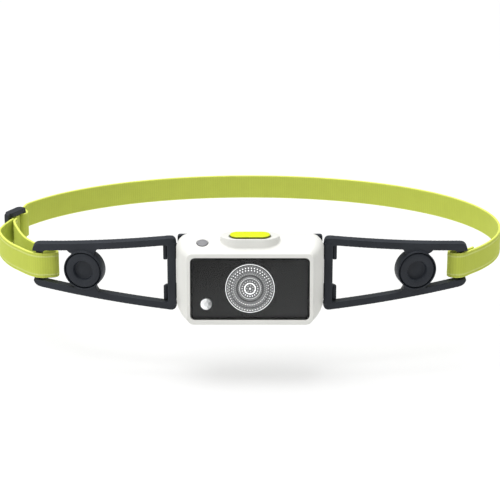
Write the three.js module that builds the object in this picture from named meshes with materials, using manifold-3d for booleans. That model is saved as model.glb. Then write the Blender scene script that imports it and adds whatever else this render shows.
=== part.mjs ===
// Running headlamp: a tilting lamp head on a forehead bracket, two hinged side arms and an elastic headband.
// Millimetres, +Z up, the lamp faces -Y. The origin is the middle of the face that rests on the forehead.
import * as THREE from 'three';
import { mergeVertices } from 'three/addons/utils/BufferGeometryUtils.js';
import Module from 'manifold-3d';

const wasm = await Module();
wasm.setup();

// ---------- driving dimensions ----------

const gap = 0.3; // clearance between neighbouring pieces
const wall = 1.8; // lamp housing wall
const faceBottom = -16; // height of the lamp's lowest edge
const faceLean = 0.155; // how far the lamp's front leans back for each millimetre up
const topSlope = 0.364; // rise of the lamp's top wall towards the back
const coverJoint = -10.4; // where the front shell ends and the rear cover starts
const platformTop = 19.9; // level platform round the button
const buttonY = -15.9;
const boardTop = 12.8; // upper face of the control board

const windowSize = [50.5, 26.4];
const windowCentre = [0, -26.6, -0.6];
const opticRadius = 10.7;
const smallLensPlace = [-18.8, -6.9]; // on the window, from its centre
const smallLensRadius = 2.55;

const hingeY = -8; // depth of the arm hinges and of the tilt hinge
const armHingeX = 34;
const tiltZ = -17.8;
const pinRadius = 0.8;
const knuckleRadius = 1.9;

const armDepth = 4.5;
const armBar = 3.2; // height of an arm's upper and lower bar
const armZ = 0.4;
const hingeHalf = 13; // half the height of an arm's hinge opening
const armBendRadius = 202;
const armStartAngle = 0.0523; // how far the arm already points back at its hinge, in radians
const armHalfInner = 16.6; // half height of the arm at its hinge
const armTaper = 0.1123; // loss of half height for each millimetre outwards
const armEndX = 95.8;
const hubX = 72.3;
const hubZ = 0.3;
const hubRadius = 8.7;
const hubDepth = [-3.25, 2.4];

const webbing = { width: 11.6, thickness: 1.1 };
const bandHalfWidth = { left: 115.6, right: 114.5 }; // headband oval
const bandCentreY = 52;
const bandRear = 76.7;
const bandFront = 70.7;
const endBar = { x: 92.9, y: 13.3, radius: 1.6 };

const slider = { x: -109.5, y: 64.5, yaw: -Math.PI / 6, length: 13.5, height: 16.6, thickness: 2.4, bar: 2,
  rail: 4.2, opening: 12.3 };

// ---------- finishes ----------

const finish = (color, roughness, metalness = 0) =>
  new THREE.MeshStandardMaterial({ color, roughness, metalness });
const whitePlastic = finish('#ecece8', 0.42);
const navyRubber = finish('#23272f', 0.7);
const charcoal = finish('#3a3a3a', 0.6);
const blackSeal = finish('#101010', 0.8);
const clearPlastic = new THREE.MeshStandardMaterial({ color: '#e8ecee', roughness: 0.05, opacity: 0.3,
  transparent: true });
const limeWebbing = finish('#bcc955', 0.85);
const limePlastic = finish('#dfee1c', 0.4);
const greyLens = finish('#98989a', 0.3);
const steel = finish('#b8bbbf', 0.3, 1);
const boardGreen = finish('#1d4a33', 0.5);
const ledYellow = finish('#e9d36a', 0.4);
const cellSilver = finish('#9ea2a6', 0.4, 0.6);
const foam = finish('#2b2f36', 0.95);

// ---------- shape tools ----------

function toSolid(geometry) {
  const bare = geometry.clone();
  bare.deleteAttribute('normal');
  bare.deleteAttribute('uv');
  const merged = mergeVertices(bare, 1e-4);
  return new wasm.Manifold(new wasm.Mesh({
    numProp: 3,
    vertProperties: new Float32Array(merged.attributes.position.array),
    triVerts: new Uint32Array(merged.index.array),
  }));
}

function toGeometry(solid) {
  const mesh = solid.getMesh();
  const geometry = new THREE.BufferGeometry();
  geometry.setAttribute('position', new THREE.Float32BufferAttribute(mesh.vertProperties, 3));
  geometry.setIndex(new THREE.Uint32BufferAttribute(mesh.triVerts, 1));
  return geometry;
}

const join = (first, ...others) => others.reduce((total, other) => total.add(other), first);
const cut = (first, ...others) => others.reduce((total, other) => total.subtract(other), first);

function roundedRect(width, height, radius, x = 0, y = 0) {
  const shape = new THREE.Shape();
  const [left, right, low, high] = [x - width / 2, x + width / 2, y - height / 2, y + height / 2];
  shape.moveTo(left + radius, low);
  shape.absarc(right - radius, low + radius, radius, -Math.PI / 2, 0, false);
  shape.absarc(right - radius, high - radius, radius, 0, Math.PI / 2, false);
  shape.absarc(left + radius, high - radius, radius, Math.PI / 2, Math.PI, false);
  shape.absarc(left + radius, low + radius, radius, Math.PI, Math.PI * 1.5, false);
  return shape;
}

const circle = (radius, x = 0, y = 0) => new THREE.Shape().absarc(x, y, radius, 0, Math.PI * 2, false);
const polygon = (points) => new THREE.Shape(points.map(([x, y]) => new THREE.Vector2(x, y)));

function extrude(shape, depth, curveSegments) {
  return new THREE.ExtrudeGeometry(shape, { depth, bevelEnabled: false, curveSegments });
}

// Outline in X and Y, extruded up
const alongZ = (shape, low, high, segments = 8) =>
  toSolid(extrude(shape, high - low, segments).translate(0, 0, low));

// Outline in X and Z, extruded from front to back
const alongY = (shape, front, back, segments = 8) =>
  toSolid(extrude(shape, back - front, segments).rotateX(Math.PI / 2).translate(0, back, 0));

// Outline in Y and Z, extruded sideways
function alongX(shape, low, high, segments = 8) {
  const turn = new THREE.Matrix4().set(0, 0, 1, 0, 1, 0, 0, 0, 0, 1, 0, 0, 0, 0, 0, 1);
  return toSolid(extrude(shape, high - low, segments).applyMatrix4(turn).translate(low, 0, 0));
}

const block = (width, depth, height, x, y, z) =>
  toSolid(new THREE.BoxGeometry(width, depth, height).translate(x, y, z));

function mirrored(solid) {
  const geometry = toGeometry(solid).applyMatrix4(new THREE.Matrix4().makeScale(-1, 1, 1));
  const order = geometry.index.array;
  for (let k = 0; k < order.length; k += 3) {
    [order[k + 1], order[k + 2]] = [order[k + 2], order[k + 1]];
  }
  return toSolid(geometry);
}

// Closed skin over a row of rings with equally many points, counter-clockwise seen from the front
function loft(rings) {
  const count = rings[0].length;
  const last = (rings.length - 1) * count;
  const order = [];
  for (let ring = 0; ring < rings.length - 1; ring += 1) {
    for (let k = 0; k < count; k += 1) {
      const a = ring * count + k;
      const b = ring * count + ((k + 1) % count);
      order.push(a, a + count, b, b, a + count, b + count);
    }
  }
  for (let k = 1; k < count - 1; k += 1) {
    order.push(0, k, k + 1, last, last + k + 1, last + k);
  }
  const geometry = new THREE.BufferGeometry();
  geometry.setAttribute('position', new THREE.Float32BufferAttribute(rings.flat(2), 3));
  geometry.setIndex(order);
  return toSolid(geometry);
}

function piece(parent, name, material, solid) {
  const mesh = new THREE.Mesh(solid.isBufferGeometry ? solid : toGeometry(solid), material);
  mesh.name = name;
  parent.add(mesh);
  return mesh;
}

// ---------- frames of reference ----------

const headlamp = new THREE.Group();

const face = new THREE.Group(); // on the window: X right, Y into the lamp, Z up the leaning face
face.position.set(...windowCentre);
face.rotation.x = -Math.atan(faceLean);
headlamp.add(face);

const ring = new THREE.Group(); // on the line between the two arm hinges
ring.position.y = hingeY;
headlamp.add(ring);

// ---------- lamp housing ----------

// Rounded sections from the front edge back. y is the depth at the lowest edge.
const shellSections = [
  { y: -28.9, lean: faceLean, half: 26.8, top: 14.2, bottom: -15.5, topRadius: 2, lowRadius: 2.8 },
  { y: -28.3, lean: faceLean, half: 27.3, top: 14.7, bottom: faceBottom, topRadius: 2.6, lowRadius: 3.4 },
  { y: -22.5, lean: 0.1, half: 30.0, top: 16.3, bottom: -16.2, topRadius: 3.4, lowRadius: 5 },
  { y: -16.5, lean: 0.04, half: 31.5, top: 17.8, bottom: -16.2, topRadius: 4.4, lowRadius: 6 },
  { y: -12.6, lean: 0, half: 31.8, top: 18.8, bottom: -16, topRadius: 5, lowRadius: 6 },
  { y: coverJoint, lean: 0, half: 31.1, top: 19.2, bottom: -15.7, topRadius: 5, lowRadius: 6 },
];

function lampRing(section, inset = 0) {
  const { y, lean, half, top, bottom, topRadius, lowRadius } = section;
  const low = Math.max(lowRadius - inset, 0.6);
  const high = Math.max(topRadius - inset, 0.6);
  const corners = [
    [half - inset - low, bottom + inset + low, low, -0.5],
    [half - inset - high, top - inset - high, high, 0],
    [high - half + inset, top - inset - high, high, 0.5],
    [low - half + inset, bottom + inset + low, low, 1],
  ];
  const steps = 4;
  return corners.flatMap(([x, z, radius, start]) =>
    Array.from({ length: steps + 1 }, (_, k) => {
      const angle = Math.PI * (start + (0.5 * k) / steps);
      const height = z + radius * Math.sin(angle);
      return [x + radius * Math.cos(angle), y + lean * (height - faceBottom), height];
    }));
}

// A solid drawn on the leaning face, brought into the lamp's own frame
function onFace(solid) {
  face.updateMatrixWorld(true);
  return toSolid(toGeometry(solid).applyMatrix4(face.matrixWorld));
}

const screwPlaces = [[26.3, 11.6], [26.3, -9.8], [-26.3, 11.6], [-26.3, -9.8]];
const sensorPlace = [-20.4, -16.9];
const usb = { x: 16.5, y: -22.3, width: 8.9, depth: 3.2 };

function sensorStub(radius, low, high) {
  const stub = new THREE.CylinderGeometry(radius, radius, high - low, 24).rotateX(Math.PI / 2);
  stub.translate(0, 0, (low + high) / 2).rotateX(Math.atan(topSlope));
  const surface = 14.6 + (sensorPlace[1] + 23.6) * topSlope;
  return toSolid(stub.translate(sensorPlace[0], sensorPlace[1], surface));
}

function frontShell() {
  const inner = shellSections.map((section, k) =>
    lampRing({ ...section, y: k ? section.y : section.y + 1.7 }, wall));
  inner[1] = inner[1].map(([x, y, z]) => [x, y + 1.7, z]);
  inner.push(lampRing({ ...shellSections.at(-1), y: coverJoint + 2 }, wall));
  const platform = alongZ(roundedRect(25.6, 11.2, 5.5, 0, -15.2), 13, platformTop)
    .subtract(block(40, 6, 20, 0, coverJoint + 3, 18));
  const bosses = screwPlaces.map(([x, z]) => {
    const out = Math.sign(x);
    const post = alongY(circle(2.4, x, z), -17.5, coverJoint, 6);
    return post.add(block(3.6, 7.1, 2.6, x + out * 2.2, -13.95, z));
  });
  const openings = [
    onFace(alongY(roundedRect(windowSize[0] + 2 * gap, windowSize[1] + 2 * gap, 2), -4, 5)),
    alongZ(roundedRect(18.6, 8, 3.95, 0, buttonY), 10, 22),
    alongZ(roundedRect(21.6, 7.6, 3.7, 0, buttonY), 12, 18),
    sensorStub(smallLensRadius + gap, -4, 3),
    block(9.6, 3.9, 5, usb.x, usb.y, -15),
    alongZ(roundedRect(12.7, 6.9, 1.2, usb.x, usb.y + 0.3), -18, -15.6, 3),
    ...screwPlaces.map(([x, z]) => alongY(circle(1.1, x, z), -15.8, coverJoint + 1, 6)),
  ];
  const hollow = cut(join(toSolidLoft(shellSections), platform), loft(inner));
  return cut(join(hollow, ...bosses), ...openings);
}

const toSolidLoft = (sections) => loft(sections.map((section) => lampRing(section)));

// Lug or knuckle round the tilt axis: an eye with a neck up to the part that carries it
function tiltEye(neck, low, high) {
  const eye = alongX(circle(knuckleRadius, hingeY, tiltZ), low, high, 10);
  return eye.add(alongX(polygon(neck), low, high));
}

const pinHole = () => alongX(circle(pinRadius + gap, hingeY, tiltZ), -40, 40, 8);

function rearCover() {
  const plate = toSolidLoft([
    { y: coverJoint + gap, lean: 0, half: 30.6, top: 19.1, bottom: -15.6, topRadius: 5, lowRadius: 6 },
    { y: -9.4, lean: 0, half: 30.2, top: 18.7, bottom: -15.3, topRadius: 5, lowRadius: 6 },
    { y: -8.6, lean: 0, half: 29.4, top: 17.9, bottom: -14.7, topRadius: 4.6, lowRadius: 5.4 },
  ]);
  const neck = [[-9.9, -14.9], [-9.9, tiltZ], [-6.3, tiltZ], [-6.6, -16.6], [-8.7, -14.9]];
  const lugs = [-9.6, 5.6].map((x) => tiltEye(neck, x, x + 4));
  const bores = screwPlaces.map(([x, z]) => alongY(circle(1.1, x, z), -12, -8, 6));
  const sinks = screwPlaces.map(([x, z]) => alongY(circle(2, x, z), -9.5, -8, 8));
  return cut(join(plate, ...lugs), pinHole(), ...bores, ...sinks);
}

function housingScrew(x, z) {
  return join(alongY(circle(1.7, x, z), -9.2, -8.6, 6), alongY(circle(0.8, x, z), -15.2, -9.2, 5));
}

piece(headlamp, 'front_shell', whitePlastic, frontShell());
piece(headlamp, 'rear_cover', navyRubber, rearCover());
screwPlaces.forEach(([x, z], k) => piece(headlamp, `housing_screw_${k + 1}`, steel, housingScrew(x, z)));

// ---------- window and optics, on the leaning face ----------

const [windowWidth, windowHeight] = windowSize;

function frameRing(outer, inner, front, back) {
  const shape = roundedRect(...outer);
  shape.holes.push(roundedRect(...inner));
  return alongY(shape, front, back, 4);
}

// Turned piece with its axis along the face's Y, profile as [radius, depth] from front to back
function turned(profile, segments, x = 0, z = 0) {
  const points = profile.map(([radius, depth]) => new THREE.Vector2(radius, depth));
  return toSolid(new THREE.LatheGeometry(points, segments).translate(x, 0, z));
}

piece(face, 'window_panel', clearPlastic,
  alongY(roundedRect(windowWidth, windowHeight, 1.7), 0.4, 1.5, 4));
piece(face, 'window_gasket', blackSeal,
  frameRing([windowWidth, windowHeight, 1.7], [windowWidth - 1.4, windowHeight - 1.4, 1], 1.8, 2.3));

const bezelShape = roundedRect(windowWidth - 0.6, windowHeight - 0.6, 1.4);
bezelShape.holes.push(circle(opticRadius + gap), circle(smallLensRadius + gap, ...smallLensPlace));
piece(face, 'inner_bezel', charcoal, alongY(bezelShape, 2.6, 3.4, 12));

piece(face, 'main_lens', clearPlastic, turned([
  [0, 2.1], [opticRadius, 2.3], [opticRadius, 3.2], [9.6, 4.2], [4.2, 7.2], [2.4, 7.2], [2.1, 5.6], [0, 5.2],
], 32));
piece(face, 'optic_holder', blackSeal, turned([
  [11, 3.7], [11.6, 3.7], [11.6, 8.3], [5, 8.3], [5, 7.7], [11, 7.7], [11, 3.7],
], 32));
piece(face, 'small_lens', clearPlastic, turned([
  [0, 2], [smallLensRadius * 0.8, 2.1], [smallLensRadius, 2.6], [smallLensRadius, 4], [1.5, 4.6], [1.5, 7.2],
  [0, 7.2],
], 20, ...smallLensPlace));
piece(face, 'led_board', boardGreen, alongY(roundedRect(44, 21, 1), 8.6, 9.6, 3));
piece(face, 'main_led', ledYellow, block(3.5, 0.8, 3.5, 0, 7.9, 0));
piece(face, 'small_led', ledYellow, block(1.6, 0.8, 1.6, smallLensPlace[0], 7.9, smallLensPlace[1]));

// ---------- inside the lamp ----------

piece(headlamp, 'battery_cell', cellSilver, alongY(roundedRect(44, 21, 1.5, 0, -1), -14.9, -10.9, 4));
const controlBoard = alongZ(roundedRect(44, 9.4, 1, 0, -16.2), boardTop - 1, boardTop, 3);
piece(headlamp, 'control_board', boardGreen, controlBoard);
piece(headlamp, 'tact_switch', blackSeal, block(6, 3.6, 2.8, 0, buttonY, boardTop + gap + 1.4));
piece(headlamp, 'indicator_led', ledYellow,
  block(2, 1.2, 0.7, sensorPlace[0], sensorPlace[1], boardTop + gap + 0.35));
piece(headlamp, 'sensor_window', greyLens, sensorStub(smallLensRadius, -1.5, 0.1));
piece(headlamp, 'usb_socket', steel, block(usb.width, usb.depth, 6.2, usb.x, usb.y, -11.2));

// ---------- button and charging flap ----------

function buttonCap() {
  const crown = alongZ(roundedRect(17.8, 7.2, 3.55, 0, buttonY), 17, platformTop + 0.9, 6);
  return crown.add(alongZ(roundedRect(20.8, 6.8, 3.3, 0, buttonY), 17, 17.7, 6));
}
piece(headlamp, 'button_cap', limePlastic, buttonCap());

function portCover() {
  const flap = alongZ(roundedRect(12, 6.2, 1, usb.x, usb.y + 0.3), -17, -15.9, 3);
  return flap.add(alongZ(roundedRect(8.2, 2.6, 1, usb.x, usb.y), -16, -14.6, 3));
}
piece(headlamp, 'port_cover', navyRubber, portCover());

// ---------- bracket, pin and forehead pad ----------

const armClear = 12.7; // hooks reach this far above and below the arm's middle
const hookInner = 5.9;

// C-shaped hook that wraps the arm's hinge bar from behind, drawn for the right side
function hook(low, high) {
  const [inner, outer] = [2.05, 3.8];
  const end = Math.PI * 1.13;
  const shape = new THREE.Shape();
  shape.absarc(armHingeX, hingeY, outer, 0, end, false);
  shape.absarc(armHingeX, hingeY, inner, end, 0, true);
  const web = block(3.4, 2.4, high - low, armHingeX - 4, hingeY + 1.35, (low + high) / 2)
    .subtract(alongZ(circle(inner, armHingeX, hingeY), low - 1, high + 1, 8));
  return alongZ(shape, low, high, 9).add(web);
}

function baseBracket() {
  const plate = alongY(roundedRect(62.8, 32.6, 1, 0, 1.3), hingeY + 0.1, hingeY + 2.4, 5);
  const neck = [[hingeY + 0.1, -14.2], [hingeY, -15.9], [hingeY, tiltZ], [-6.1, tiltZ], [-5.6, -14.2]];
  const knuckles = [-14, -5.2, 10].map((x) => tiltEye(neck, x, x === -5.2 ? 5.2 : x + 4));
  const right = [hook(hookInner + armZ, armClear + armZ), hook(armZ - armClear, armZ - hookInner)];
  const left = right.map(mirrored);
  const vents = [-1, 0, 1].map((k) => alongY(roundedRect(12, 3, 1.4, k * 16, 8), -9, -4, 4));
  return cut(join(plate, ...knuckles, ...right, ...left), pinHole(), ...vents);
}
piece(headlamp, 'base_bracket', navyRubber, baseBracket());
piece(headlamp, 'tilt_pin', steel, alongX(circle(pinRadius, hingeY, tiltZ), -14, 14, 8));
piece(headlamp, 'forehead_pad', foam, alongY(roundedRect(54, 26, 6), hingeY + 2.7, 0, 5));

// ---------- side arms, drawn for the right and mirrored for the left ----------

const armHalf = (x) => armHalfInner - armTaper * (x - armHingeX);
const armAngle = (x) => Math.asin(Math.sin(armStartAngle) + (x - armHingeX) / armBendRadius);
const armMiddleY = (x) => armBendRadius * (Math.cos(armStartAngle) - Math.cos(armAngle(x)));

// Trapezoid between two stations of the arm, with its upper and lower edge a set distance inside the outline
function armOutline(inner, outer, inset, innerRadius, outerRadius) {
  const shape = new THREE.Shape();
  const corner = (x, sign) => [x, armZ + sign * (armHalf(x) - inset)];
  const [a, b, c, d] = [corner(inner, -1), corner(outer, -1), corner(outer, 1), corner(inner, 1)];
  const slope = -armTaper;
  shape.moveTo(a[0] + innerRadius, a[1] - slope * innerRadius);
  shape.lineTo(b[0] - outerRadius, b[1] + slope * outerRadius);
  shape.quadraticCurveTo(b[0], b[1], b[0], b[1] + outerRadius);
  shape.lineTo(c[0], c[1] - outerRadius);
  shape.quadraticCurveTo(c[0], c[1], c[0] - outerRadius, c[1] - slope * outerRadius);
  shape.lineTo(d[0] + innerRadius, d[1] + slope * innerRadius);
  shape.quadraticCurveTo(d[0], d[1], d[0], d[1] - innerRadius);
  shape.lineTo(a[0], a[1] + innerRadius);
  shape.quadraticCurveTo(a[0], a[1], a[0] + innerRadius, a[1] - slope * innerRadius);
  return shape;
}

// Band of even thickness that follows the arm's bend, seen from above
function bentBand(halfDepth) {
  const lead = [Math.sin(armStartAngle), Math.cos(armStartAngle)];
  const centre = [armHingeX - armBendRadius * lead[0], armBendRadius * lead[1]];
  const angleAt = (x) => Math.atan2(-Math.sqrt(armBendRadius ** 2 - (x - centre[0]) ** 2), x - centre[0]);
  const [start, end] = [angleAt(31), angleAt(99)];
  const shape = new THREE.Shape();
  shape.absarc(...centre, armBendRadius + halfDepth, start, end, false);
  shape.absarc(...centre, armBendRadius - halfDepth, end, start, true);
  return shape;
}

// Moves a solid drawn round the Y axis to the arm's hub, square to the arm
function atHub(solid) {
  const geometry = toGeometry(solid).rotateZ(armAngle(hubX)).translate(hubX, armMiddleY(hubX), hubZ);
  return toSolid(geometry);
}

// Bar that turns in the bracket's hooks, round at the back and flat at the front
function hingeBar() {
  const bar = new THREE.Shape();
  bar.absarc(armHingeX, 0, 1.7, 0, Math.PI, false);
  [[-1.7, -1.3], [-2.0, -1.7], [-1.6, -2.3], [1.6, -2.3], [2.0, -1.7], [1.7, -1.3]].forEach(([x, y]) =>
    bar.lineTo(armHingeX + x, y));
  return alongZ(bar, armZ - hingeHalf - 1, armZ + hingeHalf + 1, 8);
}

// Flared necks between the hub and the bars above and below it
const upperNeck = [[-5.6, 9.7], [-4.9, 8.7], [-4, 7.2], [5.2, 6.9], [6.7, 7.4], [7.5, 8.1], [8, 9],
  [-5.6, 10.2]];
const lowerNeck = [[5.6, -9.7], [4.9, -8.7], [4, -7.2], [-4.8, -7], [-5.3, -8.4], [-6, -9.5],
  [-6, -10], [5.6, -10.2]];

function sideArm() {
  const band = alongZ(bentBand(armDepth / 2), -20, 20, 10);
  const heel = alongZ(circle(armDepth / 2, armHingeX, 0), -20, 20, 10); // rounds the end beside the hinge
  const beyond = block(80, 60, 60, armHingeX + 40, 10, 0);
  const frame = alongY(armOutline(31.9, armEndX, 0, 3, 3.6), -20, 40, 5).intersect(band)
    .intersect(join(heel, beyond));
  const openWindow = alongY(armOutline(36.4, 90.8, armBar, 1.6, 1.2), -20, 40, 4);
  const strapSlot = block(8, 12, 13.4, 94.6, endBar.y - 1, 0);
  const hingeZone = block(6, 10, 2 * hingeHalf, armHingeX, 0, armZ);
  const strapBar = alongZ(circle(endBar.radius, endBar.x, endBar.y), -7.4, 7.4, 10);
  const necks = [upperNeck, lowerNeck].map((outline) => {
    const points = outline.map(([x, z]) => [hubX + x, hubZ + z]);
    return alongY(polygon(points), -20, 40).intersect(band);
  });
  const hubWall = atHub(alongY(circle(hubRadius), ...hubDepth, 16));
  const well = atHub(alongY(circle(hubRadius - 0.45), -4, 0.7, 16));
  const studHole = atHub(alongY(circle(2.3), 0, 5, 10));
  const open = cut(frame, openWindow, strapSlot, hingeZone);
  return cut(join(open, hingeBar(), strapBar, ...necks, hubWall), well, studHole);
}

function discCap() {
  const cap = alongY(circle(hubRadius - 0.8), -3.1, 0.4, 16);
  const dish = alongY(circle(4.7), -5, -2.1, 12);
  const stud = alongY(circle(2), 0, 3, 8);
  return atHub(join(cut(cap, dish), stud));
}

const rightArm = sideArm();
const rightCap = discCap();
piece(ring, 'arm_right', navyRubber, rightArm);
piece(ring, 'arm_left', navyRubber, mirrored(rightArm));
piece(ring, 'disc_cap_right', navyRubber, rightCap);
piece(ring, 'disc_cap_left', navyRubber, mirrored(rightCap));

// ---------- headband ----------

const bandX = (angle) => (Math.cos(angle) > 0 ? bandHalfWidth.right : bandHalfWidth.left) * Math.cos(angle);
const bandY = (angle) => bandCentreY + (Math.sin(angle) > 0 ? bandRear : bandFront) * Math.sin(angle);

// Points of the headband oval between two angles, measured from the right side towards the back
function bandPoints(start, end, steps) {
  return Array.from({ length: steps + 1 }, (_, k) => {
    const angle = start + ((end - start) * k) / steps;
    return new THREE.Vector3(bandX(angle), bandY(angle), 0);
  });
}

const handPoints = (points) => points.map(([x, y]) => new THREE.Vector3(x, y, 0));

// Flat webbing on edge along a route seen from above
function webbingAlong(route, steps, thickness = webbing.thickness) {
  const curve = new THREE.CatmullRomCurve3(route, false, 'centripetal');
  const middle = curve.getSpacedPoints(steps);
  const sides = [1, -1].map((side) => middle.map((point, k) => {
    const before = middle[Math.max(k - 1, 0)];
    const after = middle[Math.min(k + 1, steps)];
    const along = after.clone().sub(before).normalize();
    return [point.x - (side * along.y * thickness) / 2, point.y + (side * along.x * thickness) / 2];
  }));
  const outline = polygon([...sides[1], ...sides[0].reverse()]);
  return extrude(outline, webbing.width, 1).translate(0, 0, -webbing.width / 2);
}

const bandFrontAngle = -0.56; // where the oval meets the webbing from an arm's end bar
const bandSliderAngle = Math.PI - 0.41; // where the oval ends behind the slider

const behindSlider = handPoints([[-107.5, 77.2]]);
piece(ring, 'headband_rear', limeWebbing,
  webbingAlong([...bandPoints(bandFrontAngle, bandSliderAngle, 30), ...behindSlider], 56));

// Webbing over the front of an end bar and round the fold inside the arm's window
const foldFront = [[96.4, 12.5], [92.9, 10.6], [89, 10.6]];
const foldTurn = [[85.6, 11.6], [84.9, 13.4], [86.2, 15.3]];

// On the right the fold is tighter and its sewn tail ends just behind the end bar
const rightFront = [[96.45, 13.85], [95.0, 12.2], [92.6, 10.6], [90.0, 10.6]];
const rightTurn = [[88.2, 11.6], [87.6, 13.2], [88.6, 14.9]];
const rightTail = [[90.6, 16.0], [93.2, 16.05], [95.6, 16.6], [97.6, 18.0], [99.0, 19.6]];
piece(ring, 'strap_loop_right', limeWebbing,
  webbingAlong(handPoints([...rightFront, ...rightTurn, ...rightTail]), 48));

const innerRun = [[90.6, 19.3], [96.4, 25.4], [101.6, 33.5], [106.4, 46.5], [108.4, 53.8], [109, 57.3],
  [108.5, 60.6]];
const outerRun = [[113.2, 50.2], [114.1, 43.6], [112.2, 35.9], [107.6, 26.2]];
const flipped = (points) => points.map(([x, y]) => [-x, y]);
piece(ring, 'strap_loop_left', limeWebbing,
  webbingAlong(handPoints(flipped([...outerRun, [102, 18.7], ...foldFront, ...foldTurn, ...innerRun])), 84));

// ---------- slider, with its own axes: X along the webbing towards the back, Y outwards ----------

const sliderFrame = new THREE.Group();
sliderFrame.position.set(slider.x, slider.y, 0);
sliderFrame.rotation.z = Math.PI / 2 + slider.yaw;
ring.add(sliderFrame);

function sliderBody() {
  const slot = (slider.length - 3 * slider.bar) / 2;
  const half = slider.thickness / 2;
  const plate = alongY(roundedRect(slider.length, slider.height, 1.5), -half, half, 4);
  const slots = [-1, 1].map((side) =>
    block(slot, 6, slider.opening, side * (slider.bar + slot) / 2, 0, 0));
  const thinBar = [-1, 1].map((side) =>
    block(slider.bar + 0.2, 1, slider.opening, 0, side * 1.0, 0));
  const rail = roundedRect(slider.length - 2.4, slider.rail, 1.7);
  const inner = slider.opening / 2 + 0.05;
  const railHeight = slider.height / 2 - inner;
  const rails = [inner, -slider.height / 2].map((low) => alongZ(rail, low, low + railHeight, 5));
  return join(cut(plate, ...slots, ...thinBar), ...rails);
}
piece(sliderFrame, 'strap_slider', navyRubber, sliderBody());

const weaveHalf = [[0, 2.8], [1.3, 2.7], [2.7, 2.1], [3.3, 0.6], [3.5, -0.9], [4.4, -2.0], [5.9, -2.15]];
const weaveFront = [[-13.8, -3.9], [-10.8, -3.2], [-7.8, -2.5]];
const weaveBack = [[7.6, -1.3], [9.6, 1.1], [11.5, 3.9]];
const weave = [...weaveFront, ...weaveHalf.slice(1).reverse().map(([along, out]) => [-along, out]),
  ...weaveHalf, ...weaveBack];
piece(sliderFrame, 'slider_run', limeWebbing, webbingAlong(handPoints(weave), 56));

function endLoop() {
  const outer = roundedRect(4.6, 3.6, 1.7);
  outer.holes.push(roundedRect(2.6, 1.6, 0.7));
  return alongZ(outer, -webbing.width / 2, webbing.width / 2, 5);
}
piece(sliderFrame, 'strap_end_loop', limeWebbing, endLoop());

export default headlamp;
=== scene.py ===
import math
import bmesh
import bpy
import numpy as np
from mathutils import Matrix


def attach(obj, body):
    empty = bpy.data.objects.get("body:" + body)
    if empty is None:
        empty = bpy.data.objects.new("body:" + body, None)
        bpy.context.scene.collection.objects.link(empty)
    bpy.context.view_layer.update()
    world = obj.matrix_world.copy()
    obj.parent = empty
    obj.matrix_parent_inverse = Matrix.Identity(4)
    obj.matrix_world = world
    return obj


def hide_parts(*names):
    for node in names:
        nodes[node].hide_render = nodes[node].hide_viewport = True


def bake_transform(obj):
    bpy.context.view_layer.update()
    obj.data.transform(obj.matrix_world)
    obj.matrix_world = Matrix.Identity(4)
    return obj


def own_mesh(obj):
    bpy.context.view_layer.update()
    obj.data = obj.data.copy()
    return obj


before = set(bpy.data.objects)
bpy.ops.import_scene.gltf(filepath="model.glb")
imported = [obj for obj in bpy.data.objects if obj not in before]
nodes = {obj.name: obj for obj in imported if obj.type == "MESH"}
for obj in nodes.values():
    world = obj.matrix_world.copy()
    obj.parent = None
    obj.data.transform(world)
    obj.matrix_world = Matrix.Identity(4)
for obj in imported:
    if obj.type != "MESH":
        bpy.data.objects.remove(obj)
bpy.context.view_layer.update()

mm = 0.001


def linear(hexColour):
    # sRGB hex to linear red, green, blue and full alpha
    parts = [int(hexColour[k:k + 2], 16) / 255 for k in (1, 3, 5)]
    return tuple(c / 12.92 if c <= 0.04045 else ((c + 0.055) / 1.055) ** 2.4 for c in parts) + (1.0,)


def addNode(tree, kind, values=None, links=None, **settings):
    # one node with its settings, its plain values and the sockets that feed it
    node = tree.nodes.new(kind)
    for key, value in settings.items():
        setattr(node, key, value)
    for key, value in (values or {}).items():
        node.inputs[key].default_value = value
    for key, socket in (links or {}).items():
        tree.links.new(socket, node.inputs[key])
    return node


def newMaterial(name, values):
    # a material with one principled shader, its fixed numbers set on its own sockets
    material = bpy.data.materials.new(name)
    material.use_nodes = True
    tree = material.node_tree
    shader = tree.nodes["Principled BSDF"]
    for key, value in values.items():
        shader.inputs[key].default_value = linear(value) if isinstance(value, str) else value
    return material, tree, shader


def ramp(tree, factor, stops):
    # colour ramp from (place, hex colour) pairs
    node = addNode(tree, "ShaderNodeValToRGB", links={0: factor})
    band = node.color_ramp.elements
    while len(band) < len(stops):
        band.new(0.5)
    for spot, (place, colour) in zip(band, stops):
        spot.position, spot.color = place, linear(colour)
    return node.outputs["Color"]


def gridFaces(rows, columns, closeRows):
    # quads between neighbouring rows and columns: columns run all the way round, rows only if they close
    r = np.arange(rows if closeRows else rows - 1)[:, None]
    c = np.arange(columns)[None, :]
    nextRow, nextColumn = (r + 1) % rows, (c + 1) % columns
    corners = [r * columns + c, r * columns + nextColumn, nextRow * columns + nextColumn,
               nextRow * columns + c]
    return np.stack(corners, -1).reshape(-1, 4)


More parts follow.
